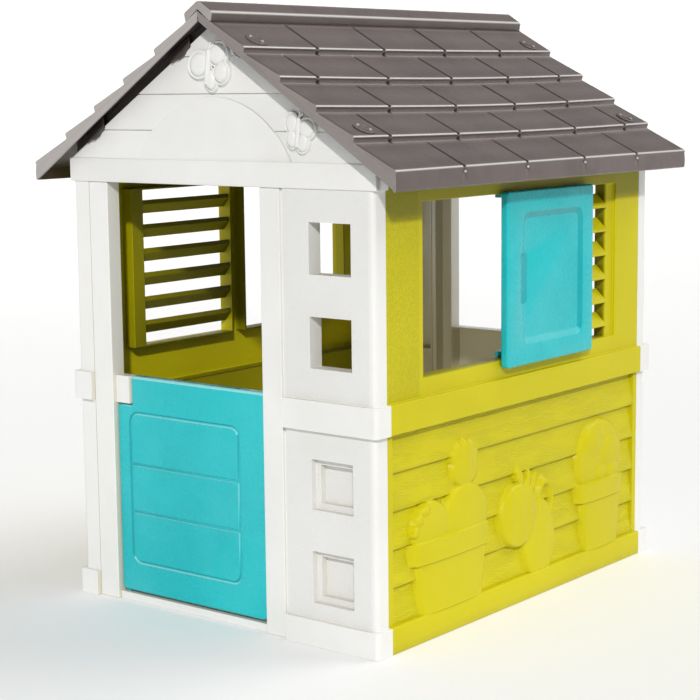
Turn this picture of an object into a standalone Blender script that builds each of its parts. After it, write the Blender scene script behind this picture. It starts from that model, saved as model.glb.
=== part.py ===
"""Plastic playhouse: moulded wall panels, a two-slope tiled roof, a half door and a sliding shutter.

Metres, +Z up. The origin is the centre of the footprint on the ground. -Y is the front, with the
door; +X is the side with the shutter. The back repeats the front turned half a turn about Z, and
the left side repeats the right side in the same way.
"""
import math

import bmesh
import bpy
from mathutils import Matrix, Vector

# ---- driving dimensions -------------------------------------------------------------------------
GAP = 0.0003                # clearance between mouldings that touch
SKIN = 0.004                # wall of a moulding that is open at its back
HALF_WIDTH = 0.407          # house wall, outer face, along X
HALF_LENGTH = 0.517         # house wall, outer face, along Y
WALL_DEPTH = 0.036          # how deep every wall moulding is
BAND_OUT = 0.010            # how far the foot and waist bands stand out
CORNER_R = 0.010            # rounded vertical corners of the white walls

FOOT_TOP = 0.054            # top of the foot band
SEAM = 0.4355               # where the lower and upper mouldings meet
WAIST_TOP = 0.4955          # top of the waist band
BEAM_LOW = 0.9066           # where the gable mouldings start
BEAM_TOP = 0.957
GABLE_APEX = 1.222          # where the gable's two sloping edges would meet
GABLE_SLOPE = 0.650         # fall of those edges per metre of X
BEAM_HALF = 0.414

DOOR_LEFT = -0.305          # door opening, seen from the front
DOOR_RIGHT = 0.1215
JAMB_WIDTH = 0.055
WING_X = 0.1820             # where the front wall's wing starts
GROOVE_X = 0.1730           # groove between the right post and the wing
GROOVE_DEEP = 0.006

WINDOW_X = (0.2469, 0.3505)                 # the wing's two windows and two blind squares
WINDOW_Z = ((0.7417, 0.843), (0.5579, 0.6597))
BLIND_Z = ((0.2759, 0.3776), (0.0865, 0.1921))
BLIND_DEEP = 0.030
BLIND_STEP = 0.012          # width of the step round a blind square
BLIND_STEP_DEEP = 0.014

SIDE_END = HALF_LENGTH - WALL_DEPTH - GAP   # a side wall ends against the front and back walls
PILLAR_END = 0.363          # inner edge of a side wall's end pillars
MULLION_Y = (0.010, 0.060)
SLAT_END = 0.345
REBATE_Y = (0.3452, 0.376)  # upright strip beside the louvres, set back from the face
REBATE_DEEP = 0.007
OPEN_Z = (0.533, 0.879)     # the side wall's two openings
PLANKS = 5
PLANK_TILT = 0.010          # how far a plank leans back at its top
PLANK_END = 0.465           # where the flat trim at the plank ends starts
SLATS = 6
SLAT_HEIGHT = 0.031
SLAT_PITCH = 0.0537

RIDGE_Z = 1.270
ROOF_HALF_LENGTH = 0.5525
EAVE_X = 0.487
EAVE_LOW = 0.912
CAP_X = 0.0365              # ridge cap's lower edge
CAP_EDGE_Z = 1.249
CAP_LOW_Z = 1.2295
ROW_TOP_Z = 1.2566          # the tile rows' lower edges lie on ROW_TOP_Z - ROW_SLOPE * x
ROW_SLOPE = 0.635
ROW_X = (0.1231, 0.2137, 0.3018, 0.3906, EAVE_X)
ROW_STEP = 0.0115           # height of the step under a row
ROOF_SKIN = 0.006
LIP_Z = 1.2316              # lower edge of the roof's end lips, on LIP_Z - LIP_SLOPE * x
LIP_SLOPE = 0.6677
LIP_THICK = 0.006
RAIL_Y = (0.485, 0.510)     # rails under the roof that rest on the gables
KNOB_Y = 0.490
KNOB_X = (0.098, 0.3635)
KNOB_R = 0.024

AXIS_X = -0.2910            # door hinge axis
AXIS_Y = -0.4945
DOOR_HALF = 0.0125          # half the door's thickness
DOOR_FREE_EDGE = 0.1195
DOOR_Z = (0.0205, 0.4945)
NOTCH_X = -0.2610           # the door is cut away here, round the hinge block
BLOCK_Z = (0.4340, 0.4930)
BLOCK_R = 0.0270
PIN_R = 0.0060
PIN_BORE_R = 0.0065
SILL_TOP = 0.016

SHUTTER_Y = (-0.097, 0.243)
SHUTTER_X = (0.4110, 0.4290)
SHUTTER_Z = (0.5175, 0.884)
SHUTTER_FIELD_Y = (-0.038, 0.200)           # recessed field on the shutter's face
SHUTTER_FIELD_Z = (0.560, 0.839)
GRIP_Y = (-0.047, -0.026)
HOOK_Y = (-0.047, -0.017)

WHITE = ("white_plastic", (0.90, 0.90, 0.88), 0.42)
LIME = ("lime_plastic", (0.62, 0.58, 0.02), 0.40)
TAUPE = ("taupe_plastic", (0.16, 0.12, 0.11), 0.38)
TEAL = ("teal_plastic", (0.015, 0.56, 0.60), 0.30)


# ---- scene and helpers --------------------------------------------------------------------------
def clear_scene():
    for item in list(bpy.data.objects):
        bpy.data.objects.remove(item, do_unlink=True)


def new_collection(name):
    made = bpy.data.collections.new(name)
    bpy.context.scene.collection.children.link(made)
    return made


clear_scene()
PARTS = new_collection("plastic_playhouse")
CUTTERS = new_collection("cutters")


def material(look):
    name, colour, roughness = look
    made = bpy.data.materials.get(name)
    if made is None:
        made = bpy.data.materials.new(name)
        made.use_nodes = True
        shader = made.node_tree.nodes["Principled BSDF"]
        shader.inputs["Base Color"].default_value = (*colour, 1.0)
        shader.inputs["Roughness"].default_value = roughness
        shader.inputs["Metallic"].default_value = 0.0
    return made


TO_AXIS = {
    "x": Matrix(((0, 0, 1, 0), (1, 0, 0, 0), (0, 1, 0, 0), (0, 0, 0, 1))),
    "y": Matrix(((1, 0, 0, 0), (0, 0, -1, 0), (0, 1, 0, 0), (0, 0, 0, 1))),
    "z": Matrix.Identity(4),
}


def prism(name, outline, axis, low, high):
    """A flat outline extruded along an axis. Outline points are (y, z), (x, z) or (x, y)."""
    curve = bpy.data.curves.new(name, "CURVE")
    curve.dimensions = "2D"
    curve.fill_mode = "BOTH"
    curve.extrude = (high - low) / 2
    spline = curve.splines.new("POLY")
    spline.points.add(len(outline) - 1)
    for point, (u, v) in zip(spline.points, outline):
        point.co = (u, v, 0.0, 1.0)
    spline.use_cyclic_u = True
    drawn = bpy.data.objects.new(name + "_outline", curve)
    CUTTERS.objects.link(drawn)
    middle = (low + high) / 2
    shift = -middle if axis == "y" else middle
    graph = bpy.context.evaluated_depsgraph_get()
    mesh = bpy.data.meshes.new_from_object(drawn.evaluated_get(graph))
    bpy.data.objects.remove(drawn, do_unlink=True)
    mesh.transform(TO_AXIS[axis] @ Matrix.Translation((0.0, 0.0, shift)))
    work = bmesh.new()
    work.from_mesh(mesh)
    bmesh.ops.remove_doubles(work, verts=work.verts, dist=0.00002)
    bmesh.ops.recalc_face_normals(work, faces=work.faces)
    bmesh.ops.dissolve_limit(work, angle_limit=0.01, verts=work.verts, edges=work.edges)
    work.to_mesh(mesh)
    work.free()
    return mesh


def box(name, x, y, z):
    """A box between two values on each axis."""
    mesh = bpy.data.meshes.new(name)
    work = bmesh.new()
    size = Vector((x[1] - x[0], y[1] - y[0], z[1] - z[0]))
    centre = Vector((x[0] + x[1], y[0] + y[1], z[0] + z[1])) / 2
    place = Matrix.Translation(centre) @ Matrix.Diagonal((*size, 1.0))
    bmesh.ops.create_cube(work, size=1.0, matrix=place)
    work.to_mesh(mesh)
    work.free()
    return mesh


def rod(name, radius, centre, z, sides=24):
    """An upright cylinder."""
    mesh = bpy.data.meshes.new(name)
    work = bmesh.new()
    place = Matrix.Translation((centre[0], centre[1], (z[0] + z[1]) / 2))
    bmesh.ops.create_cone(work, cap_ends=True, segments=sides, radius1=radius, radius2=radius,
                          depth=z[1] - z[0], matrix=place)
    work.to_mesh(mesh)
    work.free()
    return mesh


def part(name, mesh, look, joined=(), cut=(), rebuilt=(), bored=()):
    """A named object; Booleans join, cut, join again and cut again, in that order."""
    made = bpy.data.objects.new(name, mesh)
    PARTS.objects.link(made)
    mesh.materials.clear()
    mesh.materials.append(material(look))
    steps = [("UNION", joined), ("DIFFERENCE", cut), ("UNION", rebuilt), ("DIFFERENCE", bored)]
    for operation, tools in steps:
        for number, tool_mesh in enumerate(tools):
            tool = bpy.data.objects.new(f"{name}_{operation.lower()}_{number}", tool_mesh)
            CUTTERS.objects.link(tool)
            tool.hide_render = True
            tool.display_type = "WIRE"
            change = made.modifiers.new(tool.name, "BOOLEAN")
            change.operation = operation
            change.solver = "EXACT"
            change.object = tool
    return made


def bake(made):
    """Apply an object's modifiers, so that its mesh can be shared."""
    graph = bpy.context.evaluated_depsgraph_get()
    mesh = bpy.data.meshes.new_from_object(made.evaluated_get(graph))
    made.modifiers.clear()
    made.data = mesh
    return mesh


def turned_copy(name, source):
    """The same moulding on the opposite wall: half a turn about Z."""
    made = bpy.data.objects.new(name, source.data)
    PARTS.objects.link(made)
    made.rotation_euler = (0.0, 0.0, math.pi)
    return made


def arc(centre, radius, start, end, steps):
    """Points on an arc, angles in degrees."""
    points = []
    for step in range(steps + 1):
        angle = math.radians(start + (end - start) * step / steps)
        points.append((centre[0] + radius * math.cos(angle), centre[1] + radius * math.sin(angle)))
    return points


def grow(span, by):
    return (span[0] - by, span[1] + by)


# ---- front and back walls -----------------------------------------------------------------------
FRONT = -HALF_LENGTH
FRONT_INNER = -HALF_LENGTH + WALL_DEPTH
OPEN_BACK = FRONT_INNER + 0.002             # cutters run past the inner face


def corner_plan(inner_x, out, side, back=FRONT_INNER):
    """Plan of a front moulding that turns the house's corner; side is 1 right or -1 left."""
    edge = HALF_WIDTH + out
    face = FRONT - out
    radius = CORNER_R + min(out, 0.0)
    round_part = arc((edge - radius, face + radius), radius, -90, 0, 6)
    plan = [(inner_x, face)] + round_part + [(edge, back), (inner_x, back)]
    return [(x * side, y) for x, y in plan]


def corner_hollow(inner_x, side, low, high):
    """The space behind a corner moulding's skin."""
    plan = corner_plan(inner_x + SKIN, -SKIN, side, OPEN_BACK)
    return prism("hollow", plan, "z", low + SKIN, high - SKIN)


def front_wings():
    """The wide panel right of the door: blind squares below the waist, windows above."""
    cups = [box("cup", grow(WINDOW_X, SKIN), (FRONT + 0.001, FRONT + BLIND_DEEP + SKIN), grow(z, SKIN))
            for z in BLIND_Z]
    bores = []
    for low, high in BLIND_Z:
        bores.append(box("step", WINDOW_X, (FRONT - 0.002, FRONT + BLIND_STEP_DEEP), (low, high)))
        inner_x = (WINDOW_X[0] + BLIND_STEP, WINDOW_X[1] - BLIND_STEP)
        inner_z = (low + BLIND_STEP, high - BLIND_STEP)
        bores.append(box("floor", inner_x, (FRONT - 0.002, FRONT + BLIND_DEEP), inner_z))
    wall_plan = corner_plan(WING_X, 0.0, 1)
    band_plan = corner_plan(WING_X, BAND_OUT, 1)
    lower = part(
        "front_wing_lower", prism("plan", wall_plan, "z", 0.0, SEAM - GAP), WHITE,
        joined=[prism("foot", band_plan, "z", 0.0, FOOT_TOP)],
        cut=[corner_hollow(WING_X, 1, 0.0, SEAM - GAP)],
        rebuilt=cups, bored=bores)
    frames = [box("frame", grow(WINDOW_X, SKIN), (FRONT + 0.001, FRONT_INNER), grow(z, SKIN))
              for z in WINDOW_Z]
    holes = [box("window", WINDOW_X, (FRONT - 0.02, FRONT_INNER + 0.02), z) for z in WINDOW_Z]
    upper = part(
        "front_wing_upper", prism("plan", wall_plan, "z", SEAM, BEAM_LOW - GAP), WHITE,
        joined=[prism("waist", band_plan, "z", SEAM, WAIST_TOP)],
        cut=[corner_hollow(WING_X, 1, SEAM, BEAM_LOW - GAP)],
        rebuilt=frames, bored=holes)
    return [lower, upper]


def front_corners():
    """The narrow corner piece left of the door, below and above the waist."""
    inner_x = -DOOR_LEFT + JAMB_WIDTH + GAP
    wall_plan = corner_plan(inner_x, 0.0, -1)
    band_plan = corner_plan(inner_x, BAND_OUT, -1)
    made = []
    for label, low, high, band_top in (("lower", 0.0, SEAM - GAP, FOOT_TOP),
                                       ("upper", SEAM, BEAM_LOW - GAP, WAIST_TOP)):
        made.append(part(
            f"front_corner_{label}", prism("plan", wall_plan, "z", low, high), WHITE,
            joined=[prism("band", band_plan, "z", low, band_top)],
            cut=[corner_hollow(inner_x, -1, low, high)]))
    return made


def front_jambs():
    """The two door posts, full height; the right one has a groove along the wing."""
    z = (0.0, BEAM_LOW - GAP)
    hollow_y = (FRONT + SKIN, OPEN_BACK)
    left_x = (DOOR_LEFT - JAMB_WIDTH, DOOR_LEFT)
    left_hollow = box("hollow", grow(left_x, -SKIN), hollow_y, grow(z, -SKIN))
    left = part("front_jamb_left", box("post", left_x, (FRONT, FRONT_INNER), z), WHITE, cut=[left_hollow])
    right_x = (DOOR_RIGHT, WING_X - GAP)
    right_hollow = box("hollow", (DOOR_RIGHT + SKIN, GROOVE_X - SKIN), hollow_y, grow(z, -SKIN))
    groove = box("groove", (GROOVE_X, WING_X + 0.01), (FRONT - 0.01, FRONT + GROOVE_DEEP), grow(z, 0.01))
    right = part("front_jamb_right", box("post", right_x, (FRONT, FRONT_INNER), z), WHITE,
                 cut=[right_hollow, groove])
    return [left, right]


def gable_outline(inset):
    """Beam and triangle of the gable, drawn inside its edge by the inset."""
    half = BEAM_HALF - inset
    rise = inset * math.hypot(1.0, GABLE_SLOPE)
    apex = GABLE_APEX - rise
    shoulder = apex - GABLE_SLOPE * half
    return [(-half, BEAM_LOW + inset), (half, BEAM_LOW + inset), (half, shoulder), (0.0, apex),
            (-half, shoulder)]


def front_gable():
    beam = box("beam", (-BEAM_HALF, BEAM_HALF), (FRONT - 0.003, FRONT_INNER), (BEAM_LOW, BEAM_TOP))
    hollow = prism("hollow", gable_outline(SKIN), "y", FRONT + SKIN, OPEN_BACK)
    solid = prism("gable", gable_outline(0.0), "y", FRONT, FRONT_INNER)
    return part("front_gable", solid, WHITE, joined=[beam], cut=[hollow])


def butterflies():
    """Raised butterflies on the gable's right edge, drawn as two rounded wings each."""
    made = []
    places = (("upper", 0.012, 1.145, 0.050, 42.0), ("lower", 0.228, 1.010, 0.039, 28.0))
    for label, centre_x, centre_z, reach, lean in places:
        outline = []
        for step in range(24):
            angle = math.radians(15.0 * step)
            radius = reach * (0.78 + 0.22 * abs(math.sin(2.0 * angle)))
            turn = angle + math.radians(lean)
            outline.append((centre_x + radius * math.cos(turn), centre_z + radius * math.sin(turn)))
        solid = prism("butterfly", outline, "y", FRONT - 0.013, FRONT - GAP)
        made.append(part(f"front_butterfly_{label}", solid, WHITE))
    return made


def back_panel():
    """The fixed half-height panel that closes the lower part of the back opening."""
    x = (-DOOR_RIGHT + GAP, -DOOR_LEFT - GAP)
    y = (HALF_LENGTH - WALL_DEPTH, HALF_LENGTH)
    hollow = box("hollow", (x[0] + SKIN, x[1] - SKIN), (y[0] - 0.002, y[1] - SKIN), (SKIN, 0.501 - SKIN))
    return part("back_panel", box("panel", x, y, (0.0, 0.501)), WHITE, cut=[hollow])


# ---- side walls ---------------------------------------------------------------------------------
SIDE_INNER = HALF_WIDTH - WALL_DEPTH
UNDERSIDE_Z = ROW_TOP_Z - ROW_STEP - ROOF_SKIN      # roof's underside on the centre line


def roof_underside(x):
    return UNDERSIDE_Z - ROW_SLOPE * x


def side_lower():
    """Leaning planks between a foot band and the waist, with flat trim at both ends."""
    outline = [(SIDE_INNER, 0.0), (HALF_WIDTH + BAND_OUT, 0.0), (HALF_WIDTH + BAND_OUT, FOOT_TOP)]
    height = (SEAM - GAP - FOOT_TOP) / PLANKS
    for plank in range(PLANKS):
        foot = FOOT_TOP + plank * height
        outline += [(HALF_WIDTH, foot), (HALF_WIDTH - PLANK_TILT, foot + height)]
    outline.append((SIDE_INNER, SEAM - GAP))
    trims = [box("trim", (SIDE_INNER + 0.001, HALF_WIDTH), (low, high), (0.001, SEAM - GAP - 0.0001))
             for low, high in ((-SIDE_END, -PLANK_END), (PLANK_END, SIDE_END))]
    hollow_x = (SIDE_INNER - 0.002, HALF_WIDTH - PLANK_TILT - SKIN)
    hollow = box("hollow", hollow_x, (-SIDE_END + SKIN, SIDE_END - SKIN), (SKIN, SEAM - GAP - SKIN))
    return part("right_lower", prism("planks", outline, "y", -SIDE_END, SIDE_END), LIME,
                joined=trims, cut=[hollow])


def side_upper():
    """Window frame above the waist: an open half in front, a louvred half and a rebate behind."""
    top_outer = roof_underside(HALF_WIDTH) - 0.003
    top_inner = roof_underside(SIDE_INNER) - 0.003
    outline = [(SIDE_INNER, SEAM), (HALF_WIDTH + BAND_OUT, SEAM), (HALF_WIDTH + BAND_OUT, WAIST_TOP),
               (HALF_WIDTH, WAIST_TOP), (HALF_WIDTH, top_outer), (SIDE_INNER, top_inner)]
    hollow_x = (SIDE_INNER - 0.002, HALF_WIDTH - SKIN)
    hollow = box("hollow", hollow_x, (-SIDE_END + SKIN, SIDE_END - SKIN),
                 (SEAM + SKIN, top_outer - SKIN))
    openings = ((-PILLAR_END, MULLION_Y[0]), (MULLION_Y[1], SLAT_END))
    frames = [box("frame", (SIDE_INNER, HALF_WIDTH - 0.001), grow(y, SKIN), grow(OPEN_Z, SKIN))
              for y in openings + (REBATE_Y,)]
    holes = [box("hole", (SIDE_INNER - 0.02, HALF_WIDTH + 0.02), y, OPEN_Z) for y in openings]
    holes.append(box("rebate", (HALF_WIDTH - REBATE_DEEP, HALF_WIDTH + 0.02), (SLAT_END - 0.002, REBATE_Y[1]),
                     OPEN_Z))
    return part("right_upper", prism("frame", outline, "y", -SIDE_END, SIDE_END), LIME,
                cut=[hollow], rebuilt=frames, bored=holes)


def side_slats():
    """Sloping slats across the rear opening, each a wedge that sheds rain outwards."""
    made = []
    slot = SLAT_PITCH - SLAT_HEIGHT
    for number in range(SLATS):
        top = OPEN_Z[1] - slot - number * SLAT_PITCH
        low = top - SLAT_HEIGHT
        outline = [(HALF_WIDTH - 0.004, low), (HALF_WIDTH - 0.004, low + 0.006),
                   (SIDE_INNER + 0.006, top), (SIDE_INNER + 0.003, top - 0.010),
                   (HALF_WIDTH - 0.016, low)]
        solid = prism("slat", outline, "y", MULLION_Y[1] + GAP, SLAT_END - GAP)
        made.append(part(f"right_slat_{number + 1}", solid, LIME))
    return made


# ---- roof ---------------------------------------------------------------------------------------
def row_z(x):
    return ROW_TOP_Z - ROW_SLOPE * x


def roof_outline():
    """Section of the right slope: five stepped tile rows, an eave fascia and a thin skin."""
    outline = [(GAP, CAP_LOW_Z + 0.0215), (CAP_X - 0.0025, CAP_LOW_Z - 0.001)]
    for x in ROW_X[:-1]:
        outline += [(x, row_z(x)), (x - 0.0015, row_z(x) - ROW_STEP)]
    inner_x = EAVE_X - ROOF_SKIN
    outline += [(EAVE_X, row_z(EAVE_X)), (EAVE_X - 0.002, EAVE_LOW), (inner_x - 0.002, EAVE_LOW),
                (inner_x, roof_underside(inner_x)), (GAP, roof_underside(GAP))]
    return outline


def roof_slope():
    """One slope of the roof, with end lips and the rails that rest on the gables."""
    lip_outer = EAVE_X - 0.003
    lip = [(GAP, roof_underside(0.0) + 0.002), (GAP, LIP_Z), (lip_outer, LIP_Z - LIP_SLOPE * lip_outer),
           (lip_outer, roof_underside(lip_outer) + 0.002)]
    rail_z = GABLE_APEX + 2 * GAP
    rail_end = 0.400
    rail = [(0.012, roof_underside(0.012) + 0.002), (0.012, rail_z - GABLE_SLOPE * 0.012),
            (rail_end, rail_z - GABLE_SLOPE * rail_end), (rail_end, roof_underside(rail_end) + 0.002)]
    joined = []
    for side in (-1, 1):
        ends = sorted((side * ROOF_HALF_LENGTH, side * (ROOF_HALF_LENGTH - LIP_THICK)))
        joined.append(prism("lip", lip, "y", *ends))
        ends = sorted((side * RAIL_Y[0], side * RAIL_Y[1]))
        joined.append(prism("rail", rail, "y", *ends))
    solid = prism("slope", roof_outline(), "y", -ROOF_HALF_LENGTH, ROOF_HALF_LENGTH)
    return part("roof_right", solid, TAUPE, joined=joined)


def ridge_cap():
    low = CAP_LOW_Z + GAP
    outline = [(0.0, RIDGE_Z), (-CAP_X, CAP_EDGE_Z), (-CAP_X + 0.0025, low), (0.0, low + 0.0230),
               (CAP_X - 0.0025, low), (CAP_X, CAP_EDGE_Z)]
    return part("ridge_cap", prism("cap", outline, "y", -ROOF_HALF_LENGTH, ROOF_HALF_LENGTH), TAUPE)


def roof_knobs():
    """Quarter-turn fasteners: flat discs lying on the first and fourth tile rows."""
    row_starts = (CAP_X - 0.0025, ROW_X[2] - 0.0015)
    row_start_z = (CAP_LOW_Z - 0.001, row_z(ROW_X[2]) - ROW_STEP)
    row_ends = (ROW_X[0], ROW_X[3])
    for side, side_name in ((1, "right"), (-1, "left")):
        number = 0
        for knob_x, start_x, start_z, end_x in zip(KNOB_X, row_starts, row_start_z, row_ends):
            fall = (start_z - row_z(end_x)) / (end_x - start_x)
            surface = start_z - fall * (knob_x - start_x)
            tilt = math.atan(fall) * side
            for end in (-1, 1):
                number += 1
                disc = rod("disc", KNOB_R, (0.0, 0.0), (GAP, 0.004), 32)
                made = part(f"roof_knob_{side_name}_{number}", disc, TAUPE)
                made.location = (side * knob_x, end * KNOB_Y, surface)
                made.rotation_euler = (0.0, tilt, 0.0)


# ---- door ---------------------------------------------------------------------------------------
AXIS = (AXIS_X, AXIS_Y)


def door_block():
    """The fixed block on the left post that holds the door's upper pin."""
    reach = math.degrees(math.asin(DOOR_HALF / BLOCK_R))
    plan = [(DOOR_LEFT + GAP, AXIS_Y - DOOR_HALF)]
    plan += arc(AXIS, BLOCK_R, -reach, reach, 6)
    plan.append((DOOR_LEFT + GAP, AXIS_Y + DOOR_HALF))
    bore = rod("bore", PIN_BORE_R, AXIS, (BLOCK_Z[0] - 0.005, BLOCK_Z[0] + 0.030))
    return part("door_hinge_block", prism("block", plan, "z", *BLOCK_Z), WHITE, cut=[bore])


def door_sill():
    x = (DOOR_LEFT + GAP, DOOR_RIGHT - GAP)
    bore = rod("bore", PIN_BORE_R, AXIS, (0.004, SILL_TOP + 0.005))
    sill = box("sill", x, (FRONT + 0.008, FRONT_INNER), (0.0, SILL_TOP))
    return part("door_sill", sill, WHITE, cut=[bore])


def on_hinge(made, holder):
    """Hang a door piece on the empty at the hinge axis without moving it."""
    made.parent = holder
    made.matrix_parent_inverse = Matrix.Translation(holder.location).inverted()


def door():
    """Half door, open at its back, round along the hinge edge and cut away at the hinge block."""
    holder = bpy.data.objects.new("door_hinge", None)
    holder.location = (AXIS_X, AXIS_Y, 0.0)
    PARTS.objects.link(holder)
    plan = arc(AXIS, DOOR_HALF, 90, 270, 8)
    plan += [(DOOR_FREE_EDGE, AXIS_Y - DOOR_HALF), (DOOR_FREE_EDGE, AXIS_Y + DOOR_HALF)]
    notch = box("notch", (AXIS_X - 0.05, NOTCH_X), (AXIS_Y - 0.05, AXIS_Y + 0.05),
                (BLOCK_Z[0] - 0.003, DOOR_Z[1] + 0.01))
    hollow_y = (AXIS_Y - DOOR_HALF + SKIN, AXIS_Y + DOOR_HALF + 0.002)
    hollow = box("hollow", (NOTCH_X + SKIN, DOOR_FREE_EDGE - SKIN), hollow_y,
                 (DOOR_Z[0] + SKIN, DOOR_Z[1] - SKIN))
    panel = part("door_panel", prism("door", plan, "z", *DOOR_Z), TEAL, cut=[notch, hollow])
    upper = part("door_pin_upper", rod("pin", PIN_R, AXIS, (BLOCK_Z[0] - 0.003 + GAP, BLOCK_Z[0] + 0.024)),
                 TEAL)
    lower = part("door_pin_lower", rod("pin", PIN_R, AXIS, (0.006, DOOR_Z[0] - GAP)), TEAL)
    for made in (panel, upper, lower):
        on_hinge(made, holder)


# ---- shutter ------------------------------------------------------------------------------------
def shutter():
    """Sliding shutter outside the right wall, with two hooks that ride in the front opening."""
    field = box("field", (SHUTTER_X[1] - 0.004, SHUTTER_X[1] + 0.01), SHUTTER_FIELD_Y, SHUTTER_FIELD_Z)
    grip = box("grip", (SHUTTER_X[1] - 0.006, SHUTTER_X[1] + 0.01), GRIP_Y, (0.648, 0.753))
    hollow = box("hollow", (SHUTTER_X[0] - 0.002, SHUTTER_X[1] - 0.004 - SKIN),
                 (SHUTTER_Y[0] + 0.012, SHUTTER_Y[1] - SKIN),
                 (SHUTTER_Z[0] + 0.004, SHUTTER_Z[1] - 0.004))
    part("right_shutter", box("panel", SHUTTER_X, SHUTTER_Y, SHUTTER_Z), TEAL,
         cut=[field, grip, hollow])
    inner = SIDE_INNER - 0.0015
    outer = SHUTTER_X[0] - GAP
    for label, edge, sign in (("lower", OPEN_Z[0], 1), ("upper", OPEN_Z[1], -1)):
        near = edge + sign * 0.0015
        far = edge + sign * 0.0110
        tip = edge - sign * 0.0100
        outline = [(outer, near), (outer, far), (inner - 0.006, far), (inner - 0.006, tip),
                   (inner, tip), (inner, near)]
        part(f"shutter_hook_{label}", prism("hook", outline, "y", *HOOK_Y), TEAL)


# ---- assembly -----------------------------------------------------------------------------------
def main():
    front = front_wings() + front_corners() + front_jambs() + [front_gable()] + butterflies()
    for made in front:
        bake(made)
        turned_copy(made.name.replace("front_", "back_"), made)
    back_panel()
    side = [side_lower(), side_upper()] + side_slats()
    for made in side:
        bake(made)
        turned_copy(made.name.replace("right_", "left_"), made)
    slope = roof_slope()
    bake(slope)
    turned_copy("roof_left", slope)
    ridge_cap()
    roof_knobs()
    door_block()
    door_sill()
    door()
    shutter()


main()
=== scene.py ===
"""Looks of the plastic playhouse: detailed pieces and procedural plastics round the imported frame.

Metres, +Z up. -Y is the front with the door, +X the side with the shutter. The back and left
mouldings are the front and right ones turned half a turn about Z.
"""
import math

import bmesh
import bpy
from mathutils import Matrix, Vector


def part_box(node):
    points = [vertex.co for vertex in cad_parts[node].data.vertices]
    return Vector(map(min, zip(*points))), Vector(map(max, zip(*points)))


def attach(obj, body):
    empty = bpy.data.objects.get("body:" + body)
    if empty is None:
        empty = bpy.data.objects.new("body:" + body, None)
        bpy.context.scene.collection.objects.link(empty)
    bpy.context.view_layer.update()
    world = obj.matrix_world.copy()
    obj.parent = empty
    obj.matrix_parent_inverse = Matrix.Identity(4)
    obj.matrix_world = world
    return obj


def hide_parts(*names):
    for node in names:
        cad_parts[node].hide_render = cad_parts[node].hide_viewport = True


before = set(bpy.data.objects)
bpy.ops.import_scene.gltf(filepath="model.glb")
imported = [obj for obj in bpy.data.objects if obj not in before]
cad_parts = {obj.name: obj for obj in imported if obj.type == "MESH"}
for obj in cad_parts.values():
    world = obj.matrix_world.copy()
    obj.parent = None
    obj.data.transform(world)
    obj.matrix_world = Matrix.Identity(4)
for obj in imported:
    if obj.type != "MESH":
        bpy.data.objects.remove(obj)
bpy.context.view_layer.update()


# ---- camera, light and floor ----
CAMERA_AT = Vector((2.4595, -3.1728, 1.1027))
CAMERA_RIGHT = Vector((0.7839, 0.6208, -0.0106))
CAMERA_AHEAD = Vector((-0.6155, 0.7748, -0.1445))
LENS_MM = 92.27
LENS_SHIFT = (-0.0019, -0.0036)
SENSOR_MM = 36.0
SUN_COLOUR = (1.0, 0.985, 0.96)
KEY_TRAVEL = Vector((-0.56, 0.67, -0.48))
KEY_SPREAD = math.radians(2.5)
KEY_POWER = 2.1
BACK_TRAVEL = Vector((-0.4, -0.55, -0.73))
BACK_SPREAD = math.radians(40)
BACK_POWER = 1.25
FILL_AT = (0.12, -0.34, 0.3)
FILL_TRAVEL = Vector((-0.3, 0.85, 0.14))
FILL_SPREAD = math.radians(85)
FILL_COLOUR = (1.0, 0.87, 0.56)
FILL_POWER = 5.0
SKY_COLOUR = (0.97, 0.985, 1.0, 1.0)
HORIZON_GLOW = 0.14
ZENITH_GLOW = 0.42
STAGE_RADIUS = 9.0
STAGE_CURVE = 3.0
STAGE_GLOW = 0.12
SCENE = bpy.context.scene


def placed(name, data):
    """A new object in the scene."""
    made = bpy.data.objects.new(name, data)
    SCENE.collection.objects.link(made)
    return made


def make_camera():
    lens = bpy.data.cameras.new("camera")
    lens.lens = LENS_MM
    lens.sensor_width = SENSOR_MM
    lens.shift_x, lens.shift_y = LENS_SHIFT
    camera = placed("camera", lens)
    ahead = CAMERA_AHEAD.normalized()
    up = CAMERA_RIGHT.cross(ahead).normalized()
    right = ahead.cross(up)
    turn = Matrix((right, up, -ahead)).transposed().to_4x4()
    camera.matrix_world = Matrix.Translation(CAMERA_AT) @ turn
    SCENE.camera = camera


def add_lamp(lamp, power, colour, travel):
    """Put a lamp in the scene so that it shines along a direction."""
    lamp.energy = power
    lamp.color = colour
    made = placed(lamp.name, lamp)
    made.rotation_mode = "QUATERNION"
    made.rotation_quaternion = travel.to_track_quat("-Z", "Y")
    return made


def add_sun(name, travel, power, spread):
    sun = bpy.data.lights.new(name, "SUN")
    sun.angle = spread
    add_lamp(sun, power, SUN_COLOUR, travel)


def add_inside_fill():
    """A weak warm lamp for the light that the thin walls let into the house."""
    spot = bpy.data.lights.new("inside_fill", "SPOT")
    spot.spot_size = FILL_SPREAD
    spot.spot_blend = 1.0
    spot.shadow_soft_size = 0.1
    add_lamp(spot, FILL_POWER, FILL_COLOUR, FILL_TRAVEL).location = FILL_AT


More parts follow.
